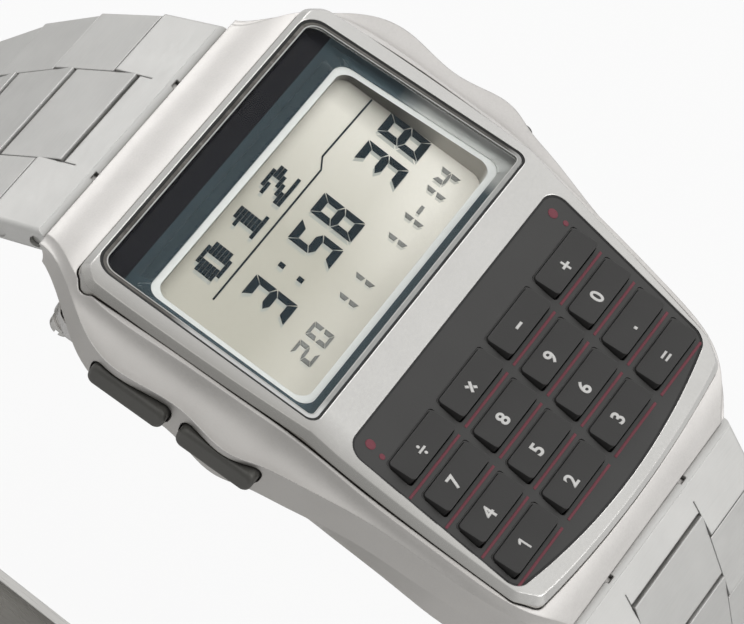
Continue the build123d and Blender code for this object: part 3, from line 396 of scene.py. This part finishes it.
def glass_material():
    # Clear glass that casts no shadow
    mat, tree, bsdf = new_material("crystal_glass")
    bsdf.inputs["Base Color"].default_value = (0.97, 0.985, 0.98, 1.0)
    bsdf.inputs["Transmission Weight"].default_value = 1.0
    bsdf.inputs["IOR"].default_value = 1.2
    fine = noise(tree, CLOUD_SCALE, detail=CLOUD_DETAIL)
    tree.links.new(ramp(tree, fine, 0.0, 0.03, start=0.35, end=0.75), bsdf.inputs["Roughness"])
    shadow = add(tree, "ShaderNodeLightPath").outputs["Is Shadow Ray"]
    clear = add(tree, "ShaderNodeBsdfTransparent")
    surface = blend_shaders(tree, shadow, bsdf.outputs["BSDF"], clear.outputs["BSDF"])
    tree.links.new(surface, tree.nodes["Material Output"].inputs["Surface"])
    return mat


def glass_edge_material():
    # Bevelled edge of the glass: dark towards 12 and 3 o'clock, with a painted highlight towards 9 and 6
    mat, tree, bsdf = new_material("glass_edge")
    place = axes(tree, "Object")
    # Painted highlight towards 9 and 6 o'clock
    left = along(tree, place["X"], 1.0, 0.0, start=-12.8, end=-11.0)
    below = along(tree, place["Y"], 1.0, 0.0, start=8.5, end=10.0)
    foot = along(tree, place["Y"], 0.5, 0.0, start=0.4, end=1.2)
    bright = plus(tree, times(tree, left, below), foot)
    fine = noise(tree, (1200.0, 300.0, 1200.0))
    dark = mix(tree, spread(tree, fine, 0.0, 1.0), *EDGE_DARK)
    tree.links.new(mix(tree, bright, dark, EDGE_PAINTED_HIGHLIGHT), bsdf.inputs["Base Color"])
    tree.links.new(spread(tree, fine, 0.18, 0.30), bsdf.inputs["Roughness"])
    return mat


GLASS_EDGE = glass_edge_material()

# Materials of the CAD's nodes: by their own name, or else by the start of it
NODE_MATERIALS = {
    "case": SATIN, "bezel": RIM, "crystal": glass_material(), "display_mask": mask_material(),
    "lcd_frame": frame_material(), "lcd": lcd_material(), "light_panel": LIGHT_PANEL,
    "lcd_contact_strips": RUBBER, "circuit_board": BOARD, "module_frame": MODULE,
    "battery": BACK, "battery_clamp": BACK, "side_contacts": BRASS, "key_plate": PLATE, "key_mat": RUBBER,
    "case_back": BACK, "back_gasket": RUBBER, "back_screws": RIM, "buzzer": BRASS,
}
GROUP_MATERIALS = (
    ("key_", KEYS), ("button_", BUTTON), ("clasp_", CLASP),
    ("link_", BRACELET), ("links_", BRACELET), ("end_link_", BRACELET),
)


def node_material(name):
    if name in NODE_MATERIALS:
        return NODE_MATERIALS[name]
    return next(mat for start, mat in GROUP_MATERIALS if name.startswith(start))


for name, obj in nodes.items():
    obj.data.materials.clear()
    obj.data.materials.append(node_material(name))


# Building blocks of the pieces in mesh code. Outlines are lists of (x, y), anticlockwise
ARC_STEPS = 7
DISC_POINTS = 16


def new_object(name, data):
    obj = bpy.data.objects.new(name, data)
    bpy.context.scene.collection.objects.link(obj)
    return obj


def add_piece(name, data, mat, body):
    data.materials.clear()
    data.materials.append(mat)
    obj = new_object(name, data)
    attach(obj, body)


def mesh_piece(name, verts, faces, mat, body):
    data = bpy.data.meshes.new(name)
    data.from_pydata([tuple(v) for v in verts], [], faces)
    data.validate()
    data.update()
    add_piece(name, data, mat, body)


def box_outline(x, y, w, h):
    return [(x - w / 2, y - h / 2), (x + w / 2, y - h / 2), (x + w / 2, y + h / 2), (x - w / 2, y + h / 2)]


def disc_outline(x, y, r):
    turns = [2 * math.pi * i / DISC_POINTS for i in range(DISC_POINTS)]
    return [(x + r * math.cos(turn), y + r * math.sin(turn)) for turn in turns]


def rounded(corners, radii):
    # The outline through the corners, with an arc at each corner whose radius isn't 0
    points = []
    n = len(corners)
    for i, radius in enumerate(radii):
        before, here, after = (Vector(corners[(i + k) % n]) for k in (-1, 0, 1))
        if radius == 0.0:
            points.append(tuple(here))
            continue
        a, b = (before - here).normalized(), (after - here).normalized()
        half = math.acos(a.dot(b)) / 2
        centre = here + (a + b).normalized() * radius / math.sin(half)
        start = here + a * radius / math.tan(half) - centre
        sweep = math.pi - 2 * half
        turn = 1.0 if a.cross(b) < 0 else -1.0
        for k in range(ARC_STEPS + 1):
            angle = turn * sweep * k / ARC_STEPS
            c, s = math.cos(angle), math.sin(angle)
            points.append((centre.x + start.x * c - start.y * s, centre.y + start.x * s + start.y * c))
    return points


def grown(outline, amount):
    # The outline moved outwards by amount
    result = []
    n = len(outline)
    for i, here in enumerate(outline):
        a = Vector(here) - Vector(outline[i - 1])
        b = Vector(outline[(i + 1) % n]) - Vector(here)
        na, nb = Vector((a.y, -a.x)).normalized(), Vector((b.y, -b.x)).normalized()
        m = (na + nb) / (1.0 + na.dot(nb))
        result.append((here[0] + m.x * amount, here[1] + m.y * amount))
    return result


def prism(outlines, place, low, high):
    # Closed plates between two lifts, one for each outline
    verts, faces = [], []
    for outline in outlines:
        n = len(outline)
        base = len(verts)
        verts += [place(x, y, low) for x, y in outline]
        verts += [place(x, y, high) for x, y in outline]
        faces.append([base + n + i for i in range(n)])
        faces.append([base + i for i in reversed(range(n))])
        for i in range(n):
            j = (i + 1) % n
            faces.append([base + i, base + j, base + n + j, base + n + i])
    return verts, faces


def ring(name, outline, place, mat, outer, inner, low, high):
    # A closed band between two growths of one outline and between two lifts
    n = len(outline)
    loops = [[place(x, y, lift) for x, y in grown(outline, amount)]
             for amount, lift in ((outer, low), (outer, high), (inner, high), (inner, low))]
    verts = [v for loop in loops for v in loop]
    faces = []
    for k in range(4):
        m = (k + 1) % 4
        for i in range(n):
            j = (i + 1) % n
            faces.append([k * n + i, k * n + j, m * n + j, m * n + i])
    mesh_piece(name, verts, faces, mat, "case")


# Seven-segment figures of the time and date: each figure's segments and its left edge, in mm
SEGMENTS = {
    "0": "abcdef", "1": "bc", "2": "abged", "3": "abgcd", "4": "fgbc", "5": "afgcd", "8": "abcdefg",
}
TIME_FIGURES = (("3", -6.85), ("5", -1.42), ("8", 1.22), ("3", 6.55), ("8", 9.35))
TIME_SIZES = {"y0": 4.84, "width": 1.86, "height": 2.98, "pen": 0.50, "bar": 0.50, "gap": 0.06}
COLON_X = -3.33
COLON_YS = (7.05, 5.7)
COLON_SIZE = 0.38
DATE_FIGURES = (
    ("2", -8.05), ("0", -6.3), ("1", -3.4), ("1", -1.45), ("1", 2.5), ("1", 4.5), ("1", 7.25), ("4", 9.1),
)
DATE_SIZES = {"y0": 2.14, "width": 1.22, "height": 1.42, "pen": 0.34, "bar": 0.18, "gap": 0.045}
DATE_DASH = box_outline(6.55, 2.91, 0.7, 0.22)


def digit_outlines(figure, x0, y0, width, height, pen, bar, gap):
    # pen is the width of the upright strokes, bar that of the level ones
    x1, y1, ym = x0 + width, y0 + height, y0 + height / 2
    h = bar / 2
    parts = {
        "a": [(x0 + gap, y1), (x0 + pen, y1 - bar), (x1 - pen, y1 - bar), (x1 - gap, y1)],
        "d": [(x0 + pen, y0 + bar), (x0 + gap, y0), (x1 - gap, y0), (x1 - pen, y0 + bar)],
        "g": [(x0 + gap, ym), (x0 + pen, ym - h), (x1 - pen, ym - h),
              (x1 - gap, ym), (x1 - pen, ym + h), (x0 + pen, ym + h)],
        "f": [(x0, y1 - gap), (x0, ym + gap), (x0 + pen, ym + h + gap), (x0 + pen, y1 - bar - gap)],
        "e": [(x0, ym - gap), (x0, y0 + gap), (x0 + pen, y0 + bar + gap), (x0 + pen, ym - h - gap)],
        "b": [(x1, ym + gap), (x1, y1 - gap), (x1 - pen, y1 - bar - gap), (x1 - pen, ym + h + gap)],
        "c": [(x1, y0 + gap), (x1, ym - gap), (x1 - pen, ym - h - gap), (x1 - pen, y0 + bar + gap)],
    }
    return [parts[segment] for segment in SEGMENTS[figure]]


time_outlines, date_outlines = [], []
for figure, x in TIME_FIGURES:
    time_outlines += digit_outlines(figure, x, **TIME_SIZES)
for y in COLON_YS:
    time_outlines.append(box_outline(COLON_X, y, COLON_SIZE, COLON_SIZE))
for figure, x in DATE_FIGURES:
    date_outlines += digit_outlines(figure, x, **DATE_SIZES)
date_outlines.append(DATE_DASH)

# Dot figures over the time: each figure's rows of dots and its left edge
DOT_ROWS = {
    "0": ("01110", "11011", "11011", "11011", "11011", "11011", "01110"),
    "1": ("00110", "01110", "00110", "00110", "00110", "00110", "01111"),
    "2": ("01110", "11011", "00011", "00110", "01100", "11000", "11111"),
}
DOT_FIGURES = (("0", -7.55), ("1", -3.72), ("2", 0.02))
DOT_TOP = 11.0
DOT_PITCH_X = 0.53
DOT_PITCH_Y = 0.245
DOT_W = 0.5
DOT_H = 0.225

dot_outlines = []
for figure, left in DOT_FIGURES:
    for row, line in enumerate(DOT_ROWS[figure]):
        for col, bit in enumerate(line):
            if bit == "1":
                x, y = left + col * DOT_PITCH_X, DOT_TOP - row * DOT_PITCH_Y
                dot_outlines.append(box_outline(x + DOT_W / 2, y - DOT_H / 2, DOT_W, DOT_H))

# The line between the dot figures and the time
LINE_PATH = ((-8.5, 8.80), (4.26, 8.83), (5.13, 9.27), (11.05, 9.19))
LINE_HALF = 0.055

line_outlines = []
for (xa, ya), (xb, yb) in zip(LINE_PATH, LINE_PATH[1:]):
    line_outlines.append(
        [(xa, ya - LINE_HALF), (xb, yb - LINE_HALF), (xb, yb + LINE_HALF), (xa, ya + LINE_HALF)])

# The figures stand a little over the panel, and their painted soft shadows lie on it, moved aside
INK_LOW = 0.002
INK_HIGH = 0.03
SHADE_LOW = 0.0005
SHADE_HIGH = 0.0015
SHADE_DOWN = 0.04

for name, outlines, mat in (
    ("display_figures", time_outlines + dot_outlines + line_outlines, INK),
    ("display_date_figures", date_outlines, GREY_INK),
):
    verts, faces = prism(outlines, on_lcd, INK_LOW, INK_HIGH)
    mesh_piece(name, verts, faces, mat, "case")
for name, outlines, shift, mat in (
    ("display_figure_shades", time_outlines + dot_outlines, 0.30, INK_SHADE),
    ("display_date_shades", date_outlines, 0.22, GREY_INK_SHADE),
):
    moved = [[(x - shift, y - SHADE_DOWN) for x, y in outline] for outline in outlines]
    verts, faces = prism(moved, on_lcd, SHADE_LOW, SHADE_HIGH)
    mesh_piece(name, verts, faces, mat, "case")

# Keys: their grid on the keypad and their sloping tops, higher towards 6 o'clock
KEY_ROWS = (
    (("divide", "÷"), ("multiply", "×"), ("minus", "−"), ("plus", "+")),
    (("7", "7"), ("8", "8"), ("9", "9"), ("0", "0")),
    (("4", "4"), ("5", "5"), ("6", "6"), ("point", ".")),
    (("1", "1"), ("2", "2"), ("3", "3"), ("equals", "=")),
)
GRID = len(KEY_ROWS)
GRID_MIDDLE = (GRID - 1) / 2
PITCH_X = 5.92
PITCH_Y = 2.625
KEY_W = 5.12
KEY_H = 1.7
KEY_CORNER = 0.25
KEY_LOW = 0.08
KEY_HIGH = 0.5


def key_centre(row, col):
    return (col - GRID_MIDDLE) * PITCH_X, (GRID_MIDDLE - row) * PITCH_Y


KEY_CENTRES = [key_centre(row, col) for row in range(GRID) for col in range(GRID)]


def key_top(cx, cy, x, v, lift):
    # A place on the sloping top of the key at (cx, cy), x and v from its middle
    share = (v + KEY_H / 2) / KEY_H
    return on_keypad(cx + x, cy + v, KEY_HIGH + (KEY_LOW - KEY_HIGH) * share + lift)


# Signs on the keys, as outlines round (0, 0)

def plus_sign(span, pen):
    # A level bar and two short uprights that touch it
    arm = (span - pen) / 2
    offset = (pen + arm) / 2
    return [box_outline(0, 0, span, pen), box_outline(0, offset, pen, arm), box_outline(0, -offset, pen, arm)]


def divide_sign(span, pen, offset, radius):
    return [box_outline(0, 0, span, pen), disc_outline(0, offset, radius), disc_outline(0, -offset, radius)]


def multiply_sign(reach, pen, hub):
    # One whole diagonal and two halves of the other one, a hub's width from the middle
    h = pen / 2
    near, far = reach - h, reach + h
    whole = [(-far, -near), (-near, -far), (far, near), (near, far)]
    half = [(-far, near), (-hub - h, hub - h), (-hub + h, hub + h), (-near, far)]
    return [whole, half, [(-x, -y) for x, y in half]]


ONE_STEM = box_outline(-0.04, 0.04, 0.16, 0.84)
ONE_FLAG = [(-0.36, 0.16), (-0.12, 0.24), (-0.12, 0.46), (-0.36, 0.30)]
SIGN_OUTLINES = {
    "÷": divide_sign(span=0.70, pen=0.15, offset=0.27, radius=0.115),
    "×": multiply_sign(reach=0.27, pen=0.14, hub=0.09),
    "−": [box_outline(0, 0, 0.66, 0.18)],
    "+": plus_sign(span=0.72, pen=0.18),
    ".": [box_outline(0, -0.2, 0.22, 0.22)],
    "=": [box_outline(0, 0.15, 0.68, 0.15), box_outline(0, -0.15, 0.68, 0.15)],
    "1": [ONE_STEM, ONE_FLAG],
}
SIGN_X = -0.35
SIGN_Y = -0.12
SIGN_LOW = 0.002
SIGN_HIGH = 0.02

# The other figures on the keys, in Blender's own typeface
FIGURE_SIZE = 1.17
FIGURE_STRETCH = 1.18
FIGURE_BOLD = 0.035
FIGURE_HALF_DEPTH = 0.012
FIGURE_CURVES = 4
FIGURE_X = -0.5
FIGURE_Y = -0.04
FIGURE_LIFT = 0.004


def sign_legend(name, sign, cx, cy):
    def on_top(x, v, lift):
        return key_top(cx, cy, x + SIGN_X, v + SIGN_Y, lift)

    verts, faces = prism(SIGN_OUTLINES[sign], on_top, SIGN_LOW, SIGN_HIGH)
    mesh_piece("legend_" + name, verts, faces, WHITE, "key_" + name)


def figure_mesh(name, figure):
    curve = bpy.data.curves.new(name, "FONT")
    curve.body = figure
    curve.size = FIGURE_SIZE
    curve.offset = FIGURE_BOLD
    curve.extrude = FIGURE_HALF_DEPTH
    curve.resolution_u = FIGURE_CURVES
    obj = new_object(name, curve)
    bpy.context.view_layer.update()
    data = bpy.data.meshes.new_from_object(obj.evaluated_get(bpy.context.evaluated_depsgraph_get()))
    bpy.data.objects.remove(obj)
    return data


def figure_legend(name, figure, cx, cy):
    data = figure_mesh("legend_" + name, figure)
    xs = [v.co.x for v in data.vertices]
    ys = [v.co.y for v in data.vertices]
    mx, my = (min(xs) + max(xs)) / 2, (min(ys) + max(ys)) / 2
    for v in data.vertices:
        x, y = (v.co.x - mx) * FIGURE_STRETCH + FIGURE_X, v.co.y - my + FIGURE_Y
        v.co = key_top(cx, cy, x, y, max(0.0, v.co.z) + FIGURE_LIFT)
    add_piece("legend_" + name, data, WHITE, "key_" + name)


for row, entries in enumerate(KEY_ROWS):
    for col, (name, sign) in enumerate(entries):
        legend = sign_legend if sign in SIGN_OUTLINES else figure_legend
        legend(name, sign, *key_centre(row, col))

# Red lines under the keys, longer at the 9 o'clock end, and two pairs of red dots
RED_DOWN = 0.46
RED_PAST_KEY = 0.1
RED_W = KEY_W + RED_PAST_KEY
RED_H = 0.18
RED_TAILS = (0.75, 0.6, 0.45, 0.3)
RED_DOTS = ((11.2, 6.25, 0.34), (11.3, 5.3, 0.2))
RED_LOW = 0.001
RED_HIGH = 0.012

red_outlines = []
for row, row_tail in enumerate(RED_TAILS):
    for col in range(GRID):
        cx, cy = key_centre(row, col)
        tail = row_tail if col == 0 else 0.0
        red_outlines.append(box_outline(cx - tail / 2, cy - KEY_H / 2 - RED_DOWN, RED_W + tail, RED_H))
for side in (-1, 1):
    for x, y, radius in RED_DOTS:
        red_outlines.append(disc_outline(side * x, y, radius))
verts, faces = prism(red_outlines, on_keypad, RED_LOW, RED_HIGH)
mesh_piece("keypad_red_print", verts, faces, RED, "case")

# Thin lips of the plate in the gap round the 12 o'clock side of each key, clear of the key
LIP_OUTER = 0.125
LIP_INNER = 0.02
LIP_LOW = -0.16
LIP_HIGH = -0.03
TOLERANCE = 0.001


def key_lip(cx, cy):
    key = rounded(box_outline(cx, cy, KEY_W, KEY_H), [KEY_CORNER] * 4)
    outer, inner = grown(key, LIP_OUTER), grown(key, LIP_INNER)
    lowest = cy + KEY_H / 2 - KEY_CORNER - TOLERANCE
    upper = [i for i, point in enumerate(key) if point[1] > lowest]
    return [outer[i] for i in upper] + [inner[i] for i in reversed(upper)]


verts, faces = prism([key_lip(cx, cy) for cx, cy in KEY_CENTRES], on_keypad, LIP_LOW, LIP_HIGH)
mesh_piece("keypad_lips", verts, faces, PLATE, "case")

# Gasket and bevelled edges round the glass, bright in part with a painted highlight
GLASS_FOOT_X = 12.98
GLASS_HEAD_X = 12.56
GLASS_HEIGHT = 15.4
GLASS_FOOT_RADIUS = 0.7
GLASS_HEAD_RADIUS = 1.3
GLASS_OUTLINE = rounded(
    [(-GLASS_FOOT_X, 0.0), (GLASS_FOOT_X, 0.0), (GLASS_HEAD_X, GLASS_HEIGHT), (-GLASS_HEAD_X, GLASS_HEIGHT)],
    [GLASS_FOOT_RADIUS] * 2 + [GLASS_HEAD_RADIUS] * 2)
ring("crystal_gasket", GLASS_OUTLINE, on_face, BLACK,
     outer=0.045, inner=-0.10, low=-0.3, high=0.012)
ring("crystal_bevel", GLASS_OUTLINE, on_face, GLASS_EDGE,
     outer=-0.13, inner=-0.34, low=-0.02, high=0.006)
ring("crystal_bevel_line", GLASS_OUTLINE, on_face, FRAME_PRINT,
     outer=-0.34, inner=-0.42, low=-0.02, high=0.004)

# Gasket round the keypad, whose lower edge bows out between its corners
PLATE_FOOT_X = 11.95
PLATE_FOOT_Y = -5.3
PLATE_HEAD_X = 12.62
PLATE_HEAD_Y = 7.2
PLATE_CORNER = 1.1
PLATE_BOW = 1.32
BOW_PARTS = 12


def plate_outline():
    bow = []
    for i in range(1, BOW_PARTS):
        across = 2.0 * i / BOW_PARTS - 1.0
        bow.append((PLATE_FOOT_X * across, PLATE_FOOT_Y - PLATE_BOW * (1.0 - across ** 2)))
    foot_9, foot_3 = (-PLATE_FOOT_X, PLATE_FOOT_Y), (PLATE_FOOT_X, PLATE_FOOT_Y)
    head_3, head_9 = (PLATE_HEAD_X, PLATE_HEAD_Y), (-PLATE_HEAD_X, PLATE_HEAD_Y)
    radii = [PLATE_CORNER] + [0.0] * len(bow) + [PLATE_CORNER] * 3
    return rounded([foot_9] + bow + [foot_3, head_3, head_9], radii)


ring("keypad_gasket", plate_outline(), on_keypad, BLACK,
     outer=0.045, inner=-0.09, low=-0.3, high=0.01)

# Stage: a pale floor, its half width in metres, that keeps a soft shadow and is nearly white to the camera
FLOOR_HALF = 3.0
FLOOR_PALE = (0.9, 0.9, 0.9, 1.0)
FLOOR_ROUGH = 0.8
FLOOR_GLOW = 0.87


def floor_material():
    mat, tree, bsdf = new_material("floor_pale")
    bsdf.inputs["Base Color"].default_value = FLOOR_PALE
    bsdf.inputs["Roughness"].default_value = FLOOR_ROUGH
    seen = add(tree, "ShaderNodeLightPath").outputs["Is Camera Ray"]
    glow = add(tree, "ShaderNodeEmission", {"Strength": 1.0})
    share = ramp(tree, seen, 0.0, FLOOR_GLOW, start=0.0, end=1.0)
    surface = blend_shaders(tree, share, bsdf.outputs["BSDF"], glow.outputs["Emission"])
    tree.links.new(surface, tree.nodes["Material Output"].inputs["Surface"])
    return mat


floor_data = bpy.data.meshes.new("floor")
floor_data.from_pydata(
    [(x, y, 0.0) for x, y in box_outline(0, 0, 2 * FLOOR_HALF, 2 * FLOOR_HALF)], [], [(0, 1, 2, 3)])
floor_data.materials.append(floor_material())
floor = new_object("floor", floor_data)


# Surroundings: darker towards 9 o'clock, and white to the camera and through the glass

def graded_background(tree, share, dark, pale, strength):
    background = add(tree, "ShaderNodeBackground", {"Strength": strength})
    tree.links.new(mix(tree, share, dark, pale), background.inputs["Color"])
    return background.outputs["Background"]


def make_world():
    world = bpy.data.worlds.new("studio")
    bpy.context.scene.world = world
    world.use_nodes = True
    tree = world.node_tree
    tree.nodes.clear()
    side = ramp(tree, axes(tree, "Generated")["X"], 0.0, 1.0, start=-0.9, end=0.5)
    soft = graded_background(tree, side, dark=(0.42, 0.42, 0.42), pale=(1.0, 1.0, 0.99), strength=0.7)
    gloss = graded_background(tree, side, dark=(0.55, 0.55, 0.545), pale=(1.0, 1.0, 0.995), strength=0.9)
    plain = add(tree, "ShaderNodeBackground", {"Color": (1.0, 1.0, 1.0, 1.0), "Strength": 1.0})
    white = plain.outputs["Background"]
    path = add(tree, "ShaderNodeLightPath")
    shader = soft
    for ray, seen in (("Is Glossy Ray", gloss), ("Is Transmission Ray", white), ("Is Camera Ray", white)):
        shader = blend_shaders(tree, path.outputs[ray], shader, seen)
    output = add(tree, "ShaderNodeOutputWorld")
    tree.links.new(shader, output.inputs["Surface"])


make_world()


# Lamps: places, aims and sizes in metres

def lamp(name, place, aim, size, power):
    data = bpy.data.lights.new(name, "AREA")
    data.shape = "RECTANGLE"
    data.size = size
    data.size_y = size
    data.energy = power
    obj = new_object(name, data)
    obj.location = place
    obj.rotation_mode = "QUATERNION"
    obj.rotation_quaternion = (Vector(aim) - Vector(place)).to_track_quat("-Z", "Y")


lamp("key_light", place=(0.20, -0.34, 0.42), aim=(0, 0, 0.058), size=0.24, power=0.45)
lamp("side_light", place=(0.36, 0.34, 0.30), aim=(0, 0, 0.055), size=0.22, power=0.28)
lamp("top_light", place=(-0.12, 0.25, 0.6), aim=(0, 0, 0.058), size=0.5, power=0.40)

# Camera, fitted to the photograph by the corners of the bezel, glass and keypad: its axes and its place
CAMERA_RIGHT = Vector((0.474453, -0.787685, 0.392998))
CAMERA_DOWN = Vector((-0.586946, -0.615794, -0.525634))
CAMERA_FORWARD = Vector((0.65604, 0.01872, -0.754494))
CAMERA_X = -237.957
CAMERA_Y = -5.338
CAMERA_Z = 277.477

cam_data = bpy.data.cameras.new("camera")
cam_data.sensor_width = 36.0
cam_data.lens = 304.82
cam_data.clip_start = 0.01
cam_data.clip_end = 20.0
cam = new_object("camera", cam_data)
cam.rotation_mode = "QUATERNION"
cam.rotation_quaternion = Matrix((CAMERA_RIGHT, -CAMERA_DOWN, -CAMERA_FORWARD)).transposed().to_quaternion()
cam.location = Vector((CAMERA_X, CAMERA_Y, CASE_Z + CAMERA_Z)) * MM
bpy.context.scene.camera = cam
bpy.context.scene.view_settings.view_transform = "Standard"
